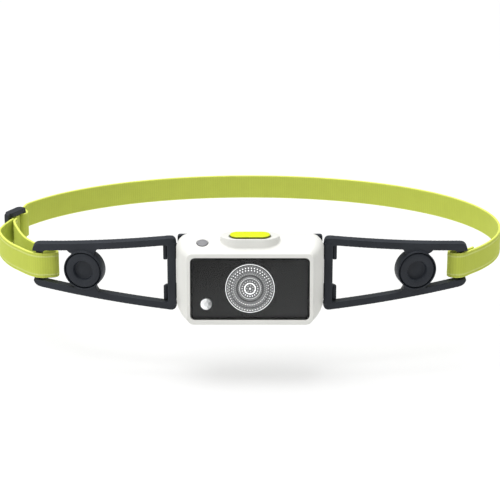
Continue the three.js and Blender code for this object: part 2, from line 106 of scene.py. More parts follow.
def gridMesh(name, grid, closeRows=False, caps=False, uv=None, tones=None):
    # a grid of points (rows, columns, 3) in millimetres becomes a smooth shaded mesh in metres
    rows, columns = grid.shape[:2]
    mesh = bpy.data.meshes.new(name)
    polygons = gridFaces(rows, columns, closeRows).tolist()
    if caps:
        first, last = list(range(columns)), list(range((rows - 1) * columns, rows * columns))
        polygons += [first[::-1], last]
    mesh.from_pydata((grid.reshape(-1, 3) * mm).tolist(), [], polygons)
    if tones is not None:
        shade = mesh.attributes.new("tone", "FLOAT", "POINT")
        shade.data.foreach_set("value", tones.astype(np.float32).ravel())
    if uv is not None:
        loops = np.empty(len(mesh.loops), np.int32)
        mesh.loops.foreach_get("vertex_index", loops)
        cloth = mesh.uv_layers.new(name="cloth")
        cloth.data.foreach_set("uv", uv.reshape(-1, 2)[loops].astype(np.float32).ravel())
    mesh.polygons.foreach_set("use_smooth", np.ones(len(mesh.polygons), bool))
    return mesh


def closed(mesh, weld=True):
    # welds poles and seams, drops faces that shrank to nothing and turns every face outwards
    bm = bmesh.new()
    bm.from_mesh(mesh)
    if weld:
        bmesh.ops.remove_doubles(bm, verts=bm.verts, dist=1e-6)
        bmesh.ops.dissolve_degenerate(bm, edges=bm.edges, dist=1e-7)
    bmesh.ops.recalc_face_normals(bm, faces=bm.faces)
    bm.to_mesh(mesh)
    bm.free()
    return mesh


def place(name, mesh, material, body, slot, standsFor=(), sharp=None):
    # puts a finished mesh into the scene on its body, in the place of the nodes it stands for
    piece = bpy.data.objects.new(name, mesh)
    bpy.context.scene.collection.objects.link(piece)
    mesh.materials.clear()
    mesh.materials.append(material)
    if sharp is not None:
        mesh.set_sharp_from_angle(angle=math.radians(sharp))
    if body:
        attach(piece, body)
    if standsFor:
        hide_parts(*standsFor)
    return piece


def roundedRings(half, top, bottom, topRadius, lowRadius, corner=14, side=22):
    # rounded rectangles in x and z, one for each row: four quarter circles joined by straight sides
    half, top, bottom, topRadius, lowRadius = np.broadcast_arrays(half, top, bottom, topRadius, lowRadius)
    sweep = np.linspace(0, np.pi / 2, corner + 1)
    parts = []
    for signX, isTop, start in ((1, False, -0.5), (1, True, 0), (-1, True, 0.5), (-1, False, 1)):
        radius = topRadius if isTop else lowRadius
        centreX = signX * (half - radius)
        centreZ = top - radius if isTop else bottom + radius
        angle = start * np.pi + sweep
        parts.append(np.stack([centreX[:, None] + radius[:, None] * np.cos(angle),
                               centreZ[:, None] + radius[:, None] * np.sin(angle)], -1))
    share = np.linspace(0, 1, side + 2)[1:-1][None, :, None]
    rings = []
    for k, arc in enumerate(parts):
        following = parts[(k + 1) % 4]
        rings += [arc, arc[:, -1:] * (1 - share) + following[:, :1] * share]
    return np.concatenate(rings, 1)


def stadium(length, width, centreY, count=160, stretch=1.0):
    # points round a slot shape in x and y with outward normals; stretch draws its round ends out along x
    radius = width / 2
    straight = length - width * stretch
    edge = np.array([straight, np.pi * radius, straight, np.pi * radius])
    ends = np.concatenate([[0], np.cumsum(edge)])
    s = np.linspace(0, ends[-1], count, endpoint=False)
    turn = np.interp(s, ends, [-np.pi / 2, -np.pi / 2, np.pi / 2, np.pi / 2, np.pi * 1.5])
    centre = np.interp(s, ends, [-straight / 2, straight / 2, straight / 2, -straight / 2, -straight / 2])
    normal = np.stack([np.cos(turn) / stretch, np.sin(turn)], -1)
    normal /= np.linalg.norm(normal, axis=1, keepdims=True)
    reach = np.stack([np.cos(turn) * stretch, np.sin(turn)], -1) * radius
    return np.stack([centre, np.full(count, centreY)], -1) + reach, normal


def smoothTable(table, t):
    # cubic curve through the rows of a table, with each tangent from the neighbouring rows
    table = np.asarray(table, float)
    slope = np.gradient(table, axis=0)
    k = np.clip(t.astype(int), 0, len(table) - 2)
    u = (t - k)[:, None]
    return ((1 + 2 * u) * (1 - u) ** 2 * table[k] + u * (1 - u) ** 2 * slope[k]
            + u ** 2 * (3 - 2 * u) * table[k + 1] + u ** 2 * (u - 1) * slope[k + 1])


def routeThrough(points, spacing):
    # centripetal curve through the points, then stations an even distance apart along it
    p = np.asarray(points, float)
    p = np.vstack([2 * p[0] - p[1], p, 2 * p[-1] - p[-2]])
    gaps = np.linalg.norm(np.diff(p, axis=0), axis=1)[:, None] ** 0.5
    a, b, c, d = p[:-3], p[1:-2], p[2:-1], p[3:]
    before, here, after = gaps[:-2], gaps[1:-1], gaps[2:]
    leave = ((b - a) / before - (c - a) / (before + here) + (c - b) / here) * here
    arrive = ((c - b) / here - (d - b) / (here + after) + (d - c) / after) * here
    u = np.linspace(0, 1, 40, endpoint=False)[None, :, None]
    curve = ((1 + 2 * u) * (1 - u) ** 2 * b[:, None] + u * (1 - u) ** 2 * leave[:, None]
             + u ** 2 * (3 - 2 * u) * c[:, None] + u ** 2 * (u - 1) * arrive[:, None]).reshape(-1, 2)
    curve = np.vstack([curve, p[-2]])
    return evenly(curve, spacing)


def evenly(curve, spacing):
    # the same line with its points an even distance apart
    run = np.concatenate([[0], np.cumsum(np.linalg.norm(np.diff(curve, axis=0), axis=1))])
    stations = np.linspace(0, run[-1], max(int(round(run[-1] / spacing)), 2) + 1)
    return np.stack([np.interp(stations, run, curve[:, k]) for k in (0, 1)], -1)


def turnedGrid(profile, count, centre, axis, up):
    # a profile of (radius, height) pairs spun round an axis through the centre
    axis, up = np.asarray(axis, float), np.asarray(up, float)
    side = np.cross(up, axis)
    angle = np.linspace(0, 2 * np.pi, count, endpoint=False)
    spoke = np.cos(angle)[:, None] * side + np.sin(angle)[:, None] * up
    profile = np.asarray(profile, float)
    return np.asarray(centre) + profile[:, None, :1] * spoke[None] + profile[:, None, 1:] * axis


print("helpers ready")


def objectPoints(tree):
    return addNode(tree, "ShaderNodeTexCoord").outputs["Object"]


def grain(tree, shader, scaleMm, depth, roughness, detail=3.0):
    # fine moulded grain: noise one grain wide drives a shallow bump and a little of the roughness
    noise = addNode(tree, "ShaderNodeTexNoise", {"Scale": 1 / (scaleMm * mm), "Detail": detail},
                    {"Vector": objectPoints(tree)})
    bump = addNode(tree, "ShaderNodeBump", {"Strength": 1.0, "Distance": depth * mm},
                   {"Height": noise.outputs["Fac"]})
    spread = addNode(tree, "ShaderNodeMapRange", {"To Min": roughness[0], "To Max": roughness[1]},
                     {"Value": noise.outputs["Fac"]})
    tree.links.new(bump.outputs["Normal"], shader.inputs["Normal"])
    tree.links.new(spread.outputs["Result"], shader.inputs["Roughness"])
    return noise


def cloudy(tree, shader, scaleMm, dark, light):
    # slow drift between two close shades, as in any moulded or dyed surface
    noise = addNode(tree, "ShaderNodeTexNoise", {"Scale": 1 / (scaleMm * mm), "Detail": 2.0},
                    {"Vector": objectPoints(tree)})
    shades = ramp(tree, noise.outputs["Fac"], [(0.35, dark), (0.65, light)])
    tree.links.new(shades, shader.inputs["Base Color"])


def whiteMouldedAbs():
    # satin ABS from a lightly spark-eroded mould: soft wide highlights, a barely warm white
    material, tree, shader = newMaterial("whiteMouldedAbs", {"IOR": 1.53, "Specular IOR Level": 0.45})
    cloudy(tree, shader, 18, "#dfdfda", "#e3e3de")
    grain(tree, shader, 0.3, 0.004, (0.36, 0.46))  # real grain is near 0.1 mm, drawn coarser so it shows
    return material


def navyRubber():
    # overmoulded elastomer with a matt, faintly blue black: edges catch a broad grey sheen
    material, tree, shader = newMaterial("navyOvermouldedRubber",
                                         {"IOR": 1.5, "Specular IOR Level": 0.4, "Sheen Weight": 0.08,
                                          "Sheen Roughness": 0.5, "Sheen Tint": "#8d97a8"})
    cloudy(tree, shader, 9, "#171c24", "#1e232b")
    grain(tree, shader, 0.28, 0.006, (0.5, 0.66))
    return material


def charcoalMask():
    # smooth printed mask behind the window, with painted shade: darker at the top, where the frame shades
    # it, and a little paler low down and towards the right
    material, tree, shader = newMaterial("charcoalPrintedMask", {"Roughness": 0.55, "IOR": 1.45,
                                                                 "Specular IOR Level": 0.2})
    split = addNode(tree, "ShaderNodeSeparateXYZ", links={0: objectPoints(tree)})
    slant = addNode(tree, "ShaderNodeMath", {1: -0.35}, {0: split.outputs["X"], 2: split.outputs["Z"]},
                    operation="MULTIPLY_ADD")
    share = addNode(tree, "ShaderNodeMapRange", {"From Min": -0.018, "From Max": 0.016},
                    {"Value": slant.outputs[0]})
    # painted shade: the ramp darkens the mask towards the top and lightens it low down and to the right
    shades = ramp(tree, share.outputs["Result"], [(0.0, "#414141"), (0.6, "#373737"), (1.0, "#1b1b1a")])
    tree.links.new(shades, shader.inputs["Base Color"])
    return material


def sealRubber():
    # black silicone seal: deep, matt and a little dusty
    material, tree, shader = newMaterial("blackSiliconeSeal", {"IOR": 1.41, "Specular IOR Level": 0.3})
    cloudy(tree, shader, 4, "#0b0b0c", "#131314")
    grain(tree, shader, 0.3, 0.004, (0.55, 0.7))
    return material


def clearPolycarbonate():
    # hard coated clear window: what is behind shows unbent, with a thin mirror gloss on top
    material = bpy.data.materials.new("clearPolycarbonate")
    material.use_nodes = True
    tree = material.node_tree
    tree.nodes.clear()
    through = addNode(tree, "ShaderNodeBsdfTransparent", {"Color": (0.97, 0.975, 0.975, 1)})
    gloss = addNode(tree, "ShaderNodeBsdfGlossy", {"Color": (1, 1, 1, 1), "Roughness": 0.0})
    share = addNode(tree, "ShaderNodeFresnel", {"IOR": 1.22})
    mix = addNode(tree, "ShaderNodeMixShader", links={0: share.outputs[0], 1: through.outputs[0],
                                                     2: gloss.outputs[0]})
    addNode(tree, "ShaderNodeOutputMaterial", links={"Surface": mix.outputs[0]})
    return material


def facetedAcrylic(name, stops, roughness, glow):
    # metallised acrylic optic: each small pyramid's point of light is a painted glint, a bright tone on a
    # grey ground, and the bright tones also get a painted glow from emission, though the optic is no lamp
    material, tree, shader = newMaterial(name, {"Metallic": 0.2, "Roughness": roughness, "Coat Weight": 0.3,
                                                "Coat Roughness": 0.05})
    tone = addNode(tree, "ShaderNodeAttribute", attribute_name="tone")
    shades = ramp(tree, tone.outputs["Fac"], stops)
    tree.links.new(shades, shader.inputs["Base Color"])
    # painted glow: the tone colour is also emitted, strongest on the painted glints
    tree.links.new(shades, shader.inputs["Emission Color"])
    paintedGlint = addNode(tree, "ShaderNodeMath", {1: 1.5}, {0: tone.outputs["Fac"]}, operation="POWER")
    gain = addNode(tree, "ShaderNodeMath", {1: glow}, {0: paintedGlint.outputs[0]}, operation="MULTIPLY")
    tree.links.new(gain.outputs[0], shader.inputs["Emission Strength"])
    material.cycles.emission_sampling = "NONE"
    return material


# millimetres; ribs and yarns are drawn coarser than the real 0.4 mm so that they show
webbing = {"width": 11.6, "thickness": 1.1, "radius": 0.5, "groove": 0.1, "ridge": 0.1, "grooveAt": 0.73,
           "spacing": 0.8, "ribMm": 1.1, "yarnMm": 0.9,
           # edge is a painted highlight for the webbing's edges, which catch the light from above
           "body": "#bfca53", "edge": "#e6ef70", "stitch": "#d3dc84"}


def limeWebbing():
    # knitted elastic webbing: fine cross ribs, a painted highlight along both edges, where they catch the
    # light from above, and two lengthwise stitch lines
    material, tree, shader = newMaterial("limeElasticWebbing",
                                         {"Roughness": 0.82, "IOR": 1.45, "Specular IOR Level": 0.25,
                                          "Sheen Weight": 0.25, "Sheen Roughness": 0.45,
                                          "Sheen Tint": "#f4ff8a"})
    across = addNode(tree, "ShaderNodeUVMap", uv_map="cloth")
    split = addNode(tree, "ShaderNodeSeparateXYZ", links={0: across.outputs["UV"]})
    along, side = split.outputs["X"], split.outputs["Y"]
    ribs = addNode(tree, "ShaderNodeMath", {1: 2 * math.pi / (webbing["ribMm"] * mm)}, {0: along},
                   operation="MULTIPLY")
    wave = addNode(tree, "ShaderNodeMath", links={0: ribs.outputs[0]}, operation="SINE")
    strands = addNode(tree, "ShaderNodeMath", {1: 2 * math.pi / (webbing["yarnMm"] * mm)}, {0: side},
                      operation="MULTIPLY")
    yarn = addNode(tree, "ShaderNodeMath", links={0: strands.outputs[0]}, operation="SINE")
    height = addNode(tree, "ShaderNodeMath", {1: 0.45}, {0: yarn.outputs[0], 2: wave.outputs[0]},
                     operation="MULTIPLY_ADD")
    fuzz = addNode(tree, "ShaderNodeTexNoise", {"Scale": 1 / (0.25 * mm), "Detail": 3.0},
                   {"Vector": objectPoints(tree)})
    bumpHeight = addNode(tree, "ShaderNodeMath", {1: 1.2}, {0: fuzz.outputs["Fac"], 2: height.outputs[0]},
                         operation="MULTIPLY_ADD")
    bump = addNode(tree, "ShaderNodeBump", {"Strength": 0.6, "Distance": 0.02 * mm},
                   {"Height": bumpHeight.outputs[0]})
    tree.links.new(bump.outputs["Normal"], shader.inputs["Normal"])
    edge = addNode(tree, "ShaderNodeMath", links={0: side}, operation="ABSOLUTE")
    outwards = addNode(tree, "ShaderNodeMapRange", {"From Max": webbing["width"] / 2 * mm},
                       {"Value": edge.outputs[0]})
    # painted highlight: the colour brightens towards both edges
    paintedEdgeHighlight = ramp(tree, outwards.outputs["Result"],
                    [(0.0, webbing["body"]), (0.9, webbing["body"]), (0.97, webbing["edge"])])
    stitch = addNode(tree, "ShaderNodeAttribute", attribute_name="tone")
    thread = addNode(tree, "ShaderNodeMix", {7: linear(webbing["stitch"])},
                     {0: stitch.outputs["Fac"], 6: paintedEdgeHighlight}, data_type="RGBA")
    drift = addNode(tree, "ShaderNodeTexNoise", {"Scale": 1 / (6 * mm), "Detail": 3.0},
                    {"Vector": objectPoints(tree)})
    shade = addNode(tree, "ShaderNodeMapRange", {"To Min": 0.93, "To Max": 1.05},
                    {"Value": drift.outputs["Fac"]})
    ribShade = addNode(tree, "ShaderNodeMapRange", {"From Min": -1.0, "To Min": 0.96, "To Max": 1.02},
                       {"Value": wave.outputs[0]})
    both = addNode(tree, "ShaderNodeMath", links={0: shade.outputs[0], 1: ribShade.outputs[0]},
                   operation="MULTIPLY")
    tint = addNode(tree, "ShaderNodeVectorMath", links={0: thread.outputs[2], "Scale": both.outputs[0]},
                   operation="SCALE")
    tree.links.new(tint.outputs["Vector"], shader.inputs["Base Color"])
    return material


def limeSilicone():
    # translucent lime silicone key: saturated and softly glossy, with painted shade darkening its lower
    # wall where it dips into the gap
    material, tree, shader = newMaterial("limeSiliconeKey",
                                         {"IOR": 1.43, "Subsurface Weight": 0.15,
                                          "Subsurface Radius": (0.001, 0.0008, 0.0002),
                                          "Specular IOR Level": 0.4})
    # painted shade: below the shoulder the colour darkens to the wall's olive, as if in the gap's shadow
    split = addNode(tree, "ShaderNodeSeparateXYZ", links={0: objectPoints(tree)})
    share = addNode(tree, "ShaderNodeMapRange", {"From Min": 0.0199, "From Max": 0.0208},
                    {"Value": split.outputs["Z"]})
    shades = ramp(tree, share.outputs["Result"],
                  [(0.0, button["wall"]), (0.55, button["wall"]), (0.85, button["face"])])
    tree.links.new(shades, shader.inputs["Base Color"])
    grain(tree, shader, 0.35, 0.003, (0.34, 0.44))
    return material


def smokedLens():
    # smoked acrylic light guide: mid grey with a darker rim
    material, tree, shader = newMaterial("smokedAcrylicGuide", {"Roughness": 0.3, "IOR": 1.49,
                                                                "Coat Weight": 0.3})
    tone = addNode(tree, "ShaderNodeAttribute", attribute_name="tone")
    shades = ramp(tree, tone.outputs["Fac"], [(0.0, "#828285"), (0.78, "#77777a"), (0.95, "#424246")])
    tree.links.new(shades, shader.inputs["Base Color"])
    return material


def turnedSteel():
    # turned stainless steel: fine rings left by the tool spread the highlight
    material, tree, shader = newMaterial("turnedStainlessSteel", {"Base Color": "#b9bbbd", "Metallic": 1.0})
    grain(tree, shader, 0.12, 0.002, (0.22, 0.38))
    return material


def plainMoulded(name, dark, light, roughness):
    # small hidden parts: solder mask, phosphor and cell wrap, each with its own tone and gloss
    material, tree, shader = newMaterial(name, {"IOR": 1.5})
    cloudy(tree, shader, 3, dark, light)
    grain(tree, shader, 0.3, 0.003, roughness)
    return material


def brushedKnit():
    # brushed knit over soft foam: small loops and a powdery sheen
    material, tree, shader = newMaterial("brushedKnitFoam", {"Roughness": 0.95, "Specular IOR Level": 0.15,
                                                             "Sheen Weight": 0.3, "Sheen Roughness": 0.5,
                                                             "Sheen Tint": "#aab2c0"})
    cloudy(tree, shader, 6, "#23272e", "#2c3139")
    loops = addNode(tree, "ShaderNodeTexVoronoi", {"Scale": 1 / (0.7 * mm)}, {"Vector": objectPoints(tree)})
    bump = addNode(tree, "ShaderNodeBump", {"Strength": 0.7, "Distance": 0.08 * mm},
                   {"Height": loops.outputs["Distance"]})
    bump.invert = True
    tree.links.new(bump.outputs["Normal"], shader.inputs["Normal"])
    return material


whiteAbs = whiteMouldedAbs()
rubber = navyRubber()
mask = charcoalMask()
seal = sealRubber()
clear = clearPolycarbonate()
# both optics get painted glints from their bright tone stops, and a painted glow of 1.45 and 0.6
opticFace = facetedAcrylic("metallisedAcrylicOptic",
                           [(0.0, "#444445"), (0.5, "#8c8c8d"), (1.0, "#fafafa")], 0.3, 1.45)
smallOptic = facetedAcrylic("facetedAcrylicLens",
                            [(0.0, "#8e8f90"), (0.5, "#d0d1d1"), (1.0, "#ffffff")], 0.15, 0.6)
lime = limeWebbing()
smoked = smokedLens()
steel = turnedSteel()
boardGreen = plainMoulded("greenSolderMask", "#1a4630", "#205038", (0.4, 0.55))
phosphor = plainMoulded("yellowPhosphor", "#e4cd5c", "#efdc7c", (0.45, 0.6))
cellWrap = plainMoulded("silverCellWrap", "#9a9ea2", "#a8acb0", (0.3, 0.45))
knit = brushedKnit()
print("finishes ready")


# lamp shell rows: depth at the lowest edge, lean, half width, top, bottom, top and lower corner radius
shell = {"faceBottom": -16.0, "joint": -10.4,
         "front": [-28.9, 0.155, 26.85, 14.25, -15.6, 2.1, 2.9],
         "sections": [[-28.3, 0.155, 27.3, 14.7, -16.0, 2.6, 3.4], [-22.5, 0.1, 30.0, 16.3, -16.2, 3.4, 5],
                      [-16.5, 0.04, 31.5, 17.8, -16.2, 4.4, 6], [-12.6, 0, 31.8, 18.8, -16.0, 5, 6],
                      [-10.4, 0, 31.1, 19.2, -15.7, 5, 6]],
         "opening": [25.55, 12.74, -13.94, 2.0], "lip": 0.25, "lipDepth": 1.9,
         "windowCentre": [0.0, -26.6, -0.6], "faceLean": 0.155}


def sectionRings(table, sink=0.0):
    # depth follows each point's height through the section's lean, then the ring sinks along the face
    table = np.asarray(table, float)
    xz = roundedRings(*table[:, 2:].T)
    y = table[:, 0][:, None] + table[:, 1][:, None] * (xz[..., 1] - shell["faceBottom"])
    lean = math.atan(shell["faceLean"])
    sink = np.broadcast_to(sink, (len(table),))[:, None]
    return np.stack([xz[..., 0], y + sink * math.cos(lean), xz[..., 1] - sink * math.sin(lean)], -1)


def buildShell():
    # rows run forward over the outside, round the brow, in through the window's lip and back inside
    back = np.asarray(shell["sections"])
    outer = smoothTable(back, np.linspace(0, len(back) - 1, 41))
    turn = np.linspace(0, np.pi / 2, 9)[1:][:, None]
    front = np.asarray(shell["front"])
    share = np.concatenate([np.sin(turn), np.zeros_like(turn)] + [1 - np.cos(turn)] * 5, 1)
    share[:, 1] = 0
    brow = outer[0] + (front - outer[0]) * share
    half, top, bottom, radius = shell["opening"]
    opening = np.array([front[0], front[1], half, top, bottom, radius, radius])
    lip = shell["lip"]
    flat = front + (opening + [0, 0, lip, lip, -lip, 0, 0] - front) * np.linspace(0, 1, 5)[1:, None]
    curl = np.linspace(0, np.pi / 2, 5)[1:]
    lipRows = opening + np.outer(1 - np.sin(curl), [0, 0, lip, lip, -lip, 0, 0])
    lipSink = lip * (1 - np.cos(curl))
    inside = outer[[-1, 30, 15, 4]] + [0, 0, -1.5, -1.5, 1.5, -1, -1]
    inside[-1, 0] += 2.2
    rear = outer[-1] + np.array([[0.0, 0, -0.3, -0.3, 0.3, 0, 0]])
    rings = [sectionRings(outer[::-1]), sectionRings(brow), sectionRings(flat),
             sectionRings(lipRows, lipSink), sectionRings([opening], shell["lipDepth"]),
             sectionRings(inside[::-1]), sectionRings(rear)]
    return closed(gridMesh("front_shell_moulded", np.concatenate(rings), closeRows=True))


def shellTop(y):
    # height of the shell's flat top wall at a depth
    rows = smoothTable(shell["sections"], np.linspace(0, len(shell["sections"]) - 1, 80))
    depth = rows[:, 0] + rows[:, 1] * (rows[:, 3] - shell["faceBottom"])
    return np.interp(y, depth, rows[:, 3])


place("front_shell_moulded", buildShell(), whiteAbs, "lamp", "shell", ["front_shell"], sharp=50)
print("shell")


platform = {"length": 25.5, "width": 11.8, "stretch": 1.4, "centreY": -14.9, "top": 19.9, "fillet": 0.6,
            "edge": 0.5, "draft": 0.2, "hole": [18.2, 8.0], "holeY": -15.9, "holeDepth": 2.4, "foot": 0.25}


def buildPlatform():
    # rows climb from the fillet's foot on the top wall to the rim, cross to the hole and go down into it
    count = 200
    outline, normal = stadium(platform["length"], platform["width"], platform["centreY"], count,
                              platform["stretch"])
    hole, holeNormal = stadium(*platform["hole"], platform["holeY"], count)
    base = shellTop(outline[:, 1])
    room = platform["top"] - base
    fillet = np.minimum(platform["fillet"], 0.5 * room)
    edge = np.minimum(platform["edge"], 0.35 * room)
    rows = []

    def row(points, z):
        y = np.minimum(points[:, 1], shell["joint"])
        rows.append(np.stack([points[:, 0], y, z], -1))

    def onTop(points):
        return shellTop(np.minimum(points[:, 1], shell["joint"]))

    for a in np.linspace(0, np.pi / 2, 9):
        points = outline + normal * (fillet * (1 - math.sin(a)))[:, None]
        row(points, onTop(points) + fillet * (1 - math.cos(a)) - (0.02 if a == 0 else 0))
    for share in np.linspace(0, 1, 5)[1:]:
        points = outline - normal * (platform["draft"] * share)
        low = base + fillet
        row(points, low + (platform["top"] - edge - low) * share)
    for b in np.linspace(0, np.pi / 2, 8)[1:]:
        points = outline - normal * (platform["draft"] + edge * (1 - math.cos(b)))[:, None]
        row(points, platform["top"] - edge * (1 - math.sin(b)))
    rim = rows[-1][:, :2]
    for share in np.linspace(0, 1, 5)[1:]:
        row(rim + (hole + holeNormal * platform["foot"] - rim) * share, np.full(count, platform["top"]))
    for b in np.linspace(0, np.pi / 2, 5)[1:]:
        row(hole + holeNormal * (platform["foot"] * (1 - math.sin(b))),
            np.full(count, platform["top"] - platform["foot"] * (1 - math.cos(b))))
    row(hole, np.full(count, platform["top"] - platform["holeDepth"]))
    points = outline + normal * (fillet * 0.5)[:, None]
    row(points, np.minimum(onTop(points) - 0.8, platform["top"] - platform["holeDepth"] - 0.2))
    return closed(gridMesh("button_platform", np.stack(rows), closeRows=True))


place("button_platform", buildPlatform(), whiteAbs, "lamp", "shell", sharp=50)

# wall is a painted shade colour for the key's lower wall in the gap; face is the key's own lime
button = {"length": 17.3, "width": 7.2, "centreY": -15.9, "top": 20.9, "low": 19.65, "edge": 0.35,
          "crown": 0.12, "wall": "#7f8512", "face": "#d9e70b"}


def buildButton():
    # a slot-shaped key: wall, rounded edge, then rings shrinking to the middle line under a slight crown
    count = 160
    outline, normal = stadium(button["length"], button["width"], button["centreY"], count)
    shoulder = button["top"] - button["crown"]
    rows = [(0.3, button["low"]), (0.0, button["low"] + 0.25), (0.0, shoulder - button["edge"])]
    for b in np.linspace(0, np.pi / 2, 9)[1:]:
        rows.append((button["edge"] * (1 - math.cos(b)), shoulder - button["edge"] * (1 - math.sin(b))))
    for share in np.linspace(0, 1, 7)[1:]:
        inset = button["edge"] + (button["width"] / 2 - button["edge"] - 0.02) * share
        rows.append((inset, button["top"] - button["crown"] * (1 - share) ** 2))
    grid = [np.column_stack([outline - normal * inset, np.full(count, z)]) for inset, z in rows]
    return closed(gridMesh("button_key", np.stack(grid), caps=True))


place("button_key", buildButton(), limeSilicone(), "button", "button", ["button_cap"], sharp=60)
print("button")


status = {"x": -20.4, "y": -16.9, "radius": 2.35, "rim": 2.65, "slope": 0.33}


def buildStatusWindow():
    # a shallow dome with a dark ring round it, square to the sloping top wall and turned on one profile
    slope = math.atan(status["slope"])
    axis = (0, -math.sin(slope), math.cos(slope))
    rim, radius = status["rim"], status["radius"]
    profile = [(0, -0.6), (rim, -0.6), (rim, 0.0), (rim - 0.08, 0.06), (radius + 0.08, 0.05),
               (radius, -0.02), (radius - 0.05, 0.08)]
    share = np.linspace(1, 0, 9)[1:]
    profile += [((radius - 0.15) * s, 0.12 + 0.14 * (1 - s ** 2)) for s in share]
    tone = np.array([1, 1, 1, 1, 1, 1, 0.9] + [0.75 * s for s in share])
    centre = (status["x"], status["y"], float(shellTop(status["y"])))
    grid = turnedGrid(profile, 72, centre, axis, (0, math.cos(slope), math.sin(slope)))
    tones = np.repeat(tone[:, None], 72, 1)
    return closed(gridMesh("status_window", grid, tones=tones))


place("status_window", buildStatusWindow(), smoked, "lamp", "grey_lens", ["sensor_window"], sharp=40)


leanAngle = math.atan(shell["faceLean"])
faceAxis = (0, -math.cos(leanAngle), math.sin(leanAngle))  # out of the lamp
faceUp = (0, math.sin(leanAngle), math.cos(leanAngle))
optic = {"radius": 10.7, "front": 2.3, "crown": 0.5, "rings": 150, "spokes": 560, "ground": 0.33,
         # rows of pyramids: radius, how many, height, half width, painted glint brightness, painted lean of
         # the light up or down
         "rows": [(0.0, 1, 0.3, 0.8, 0.9, 0), (1.35, 7, 0.15, 0.45, 0.75, 0),
                  (3.35, 20, 0.17, 0.5, 1.0, -0.5), (4.95, 36, 0.08, 0.36, 0.7, 0.4),
                  (6.4, 48, 0.1, 0.44, 0.75, 0.4), (7.15, 46, 0.12, 0.42, 1.0, -0.8),
                  (7.9, 38, 0.16, 0.5, 0.95, 0.7), (8.9, 44, 0.16, 0.5, 0.95, 0.7),
                  (9.55, 52, 0.12, 0.42, 1.0, -0.8)],
         # raised or sunk circles: radius, half width, height, painted brightness (highlight on raised
         # circles, shade in sunk ones)
         "lines": [(2.3, 0.26, 0.12, 1.0), (2.75, 0.14, -0.1, 0.1), (4.45, 0.16, 0.08, 0.8),
                   (5.6, 0.2, -0.12, 0.0), (8.35, 0.14, -0.06, 0.1), (10.0, 0.14, -0.08, 0.1),
                   (10.4, 0.15, 0.2, 1.0)]}


def facePoint(x, z, depth):
    # a point on the leaning face, depth into the lamp
    centre = np.array(shell["windowCentre"])
    return centre + np.array([x, 0, 0]) + z * np.array(faceUp) - depth * np.array(faceAxis)


def reliefDisc(name, centre, r, a, height, tone, rim, rimTone):
    # a relief over radius and angle on the leaning face, closed behind by the rim's (radius, depth) rings
    side = np.cross(faceUp, faceAxis)
    spoke = np.cos(a)[..., None] * side + np.sin(a)[..., None] * np.array(faceUp)
    relief = centre + r[..., None] * spoke + height[..., None] * np.array(faceAxis)
    back = [centre + radius * spoke[-1] - depth * np.array(faceAxis) for radius, depth in rim]
    grid = np.concatenate([np.stack(back[::-1]), relief[::-1]])
    tones = np.concatenate([np.full((len(rim), r.shape[1]), rimTone), tone[::-1]])
    return closed(gridMesh(name, grid, tones=tones, caps=True))


def buildMainOptic():
    # height over the disc: a shallow dome, plus rows of cosine pyramids, plus raised or sunk circles
    radius = np.linspace(0.02, optic["radius"] - 0.08, optic["rings"])
    angle = np.linspace(0, 2 * np.pi, optic["spokes"], endpoint=False)
    r, a = np.meshgrid(radius, angle, indexing="ij")
    height = optic["crown"] * (1 - (r / optic["radius"]) ** 2)
    # the tone paints the light: glints on the pyramids leaning up or down, highlights on raised circles and
    # shade in sunk ones
    tone = np.full_like(r, optic["ground"])
    for k, (middle, count, tall, half, bright, lean) in enumerate(optic["rows"]):
        across = np.clip(1 - np.abs(r - middle) / half, 0, 1)
        around = 0.5 + 0.5 * np.cos(count * a + (k % 2) * np.pi) if count > 1 else 1
        height += tall * across * around
        lit = bright * (1 - 0.25 * abs(lean) + 0.3 * lean * np.sin(a))
        tone = np.maximum(tone, lit * np.clip(across * 1.6, 0, 1) * around)
    for middle, half, tall, bright in optic["lines"]:
        ridge = np.clip((half - np.abs(r - middle)) / 0.08, 0, 1)
        height += tall * ridge
        tone = tone * (1 - ridge) + bright * ridge
    rim = ((optic["radius"], 0.1), (optic["radius"], 1.0), (0.02, 1.0))
    return reliefDisc("main_optic", facePoint(0, 0, optic["front"]), r, a, height, np.clip(tone, 0, 1),
                      rim, 0.3)


place("main_optic", buildMainOptic(), opticFace, "lamp", "optic", ["main_lens"])

# the facet tones are painted light and shade, one level for each facet
spotLens = {"x": -18.8, "z": -6.9, "radius": 2.55, "front": 2.3, "facets": 7, "crown": 0.55,
            "start": 0.35, "paintedFacetLight": [0.35, 0.6, 0.9, 1.0, 1.0, 0.95, 0.55]}


def buildSpotLens():
    # a small cut dome: its height steps between flat facets round a middle, each facet's tone is painted
    # light and shade by the way it faces, and the middle is painted bright
    radius = np.linspace(0.01, spotLens["radius"] - 0.1, 34)
    angle = np.linspace(0, 2 * np.pi, 140, endpoint=False)
    r, a = np.meshgrid(radius, angle, indexing="ij")
    share = r / spotLens["radius"]
    n = spotLens["facets"]
    turn = a + spotLens["start"]
    cutIn = np.cos(np.pi / n) / np.cos(turn % (2 * np.pi / n) - np.pi / n)
    cut = np.clip(share / cutIn - 0.45, 0, 1) * (share < 0.9)
    height = spotLens["crown"] * (1 - share ** 2) - 0.22 * cut
    # painted light: each facet gets its own tone, and the middle gets a bright one
    facet = (turn // (2 * np.pi / n)).astype(int) % n
    tone = np.array(spotLens["paintedFacetLight"])[facet] * (share > 0.4) + 0.75 * (share <= 0.4)
    tone = np.where(share > 0.92, 0.25, tone)
    centre = facePoint(spotLens["x"], spotLens["z"], spotLens["front"])
    rim = ((spotLens["radius"], 0.1), (spotLens["radius"], 2.0), (0.01, 2.0))
    return reliefDisc("spot_lens", centre, r, a, height, tone, rim, 0.2)


place("spot_lens", buildSpotLens(), smallOptic, "lamp", "optic", ["small_lens"], sharp=40)
print("optics")


